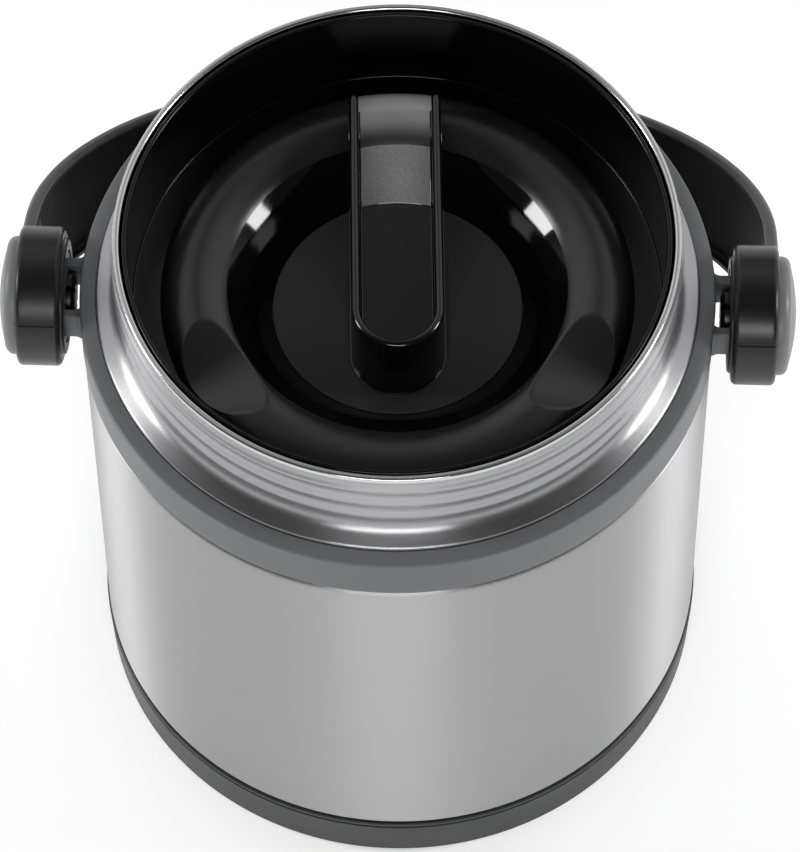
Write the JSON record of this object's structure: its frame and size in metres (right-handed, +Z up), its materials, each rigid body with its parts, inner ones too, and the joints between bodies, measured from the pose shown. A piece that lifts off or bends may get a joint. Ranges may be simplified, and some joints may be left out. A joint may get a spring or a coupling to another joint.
{
  "type": "insulated food jar",
  "caption": "Double-walled steel food jar with a screw neck, a lift-out grip stopper and a wide bail that swings on a collar.",
  "frame": {"origin": "On the table under the middle of the vessel, at the underside of the foot pad.", "axes": "+Z up along the vessel, +X through the right-hand bail pivot, -Y towards the front, where the bail does not hang."},
  "size_m": [0.2334, 0.2148, 0.2086],
  "materials": {
    "steel_body": "satin",
    "steel_inside": "semi-gloss",
    "foil": "gloss",
    "getter_metal": "matte",
    "braze": "satin",
    "grey_plastic": "satin",
    "base_plastic": "satin",
    "cap_plastic": "satin",
    "black_plastic": "satin",
    "gloss_black": "gloss",
    "grained_black": "textured",
    "pin_plastic": "satin",
    "silicone": "matte",
    "foot_rubber": "matte",
    "foam": "matte"
  },
  "bodies": {
    "root": {"outer_shell": "steel_body", "inner_liner": "steel_inside", "shell_bottom": "steel_body", "heat_shield": "foil", "getter": "getter_metal", "seal_disc": "braze", "base_cup": "base_plastic", "foot_pad": "foot_rubber", "collar": "grey_plastic"},
    "bail": {"hub_arm_left": "black_plastic", "hub_arm_right": "black_plastic", "lock_pin_left": "pin_plastic", "lock_pin_right": "pin_plastic", "hub_cap_left": "cap_plastic", "hub_cap_right": "cap_plastic", "bail_strap": "black_plastic"},
    "seal": {"stopper_seal": "silicone"},
    "stopper": {"stopper_bowl": "gloss_black", "grip_bar": "gloss_black", "centre_disc": "grained_black", "stopper_base": "black_plastic", "stopper_core": "foam"}
  },
  "joints": [
    {"name": "bail_swing", "type": "hinge", "parent": "root", "child": "bail", "pos_m": [0, 0, 0.17125], "axis": [1, 0, 0], "range_deg": [-4.9, 248.9]},
    {"name": "stopper_lift", "type": "slide", "parent": "root", "child": "seal", "axis": [0, 0, 1], "range_m": [0, 0.12]},
    {"name": "stopper_turn", "type": "hinge", "parent": "seal", "child": "stopper", "pos_m": [0, 0, 0.163], "axis": [0, 0, 1], "range_deg": [0, 90]}
  ]
}
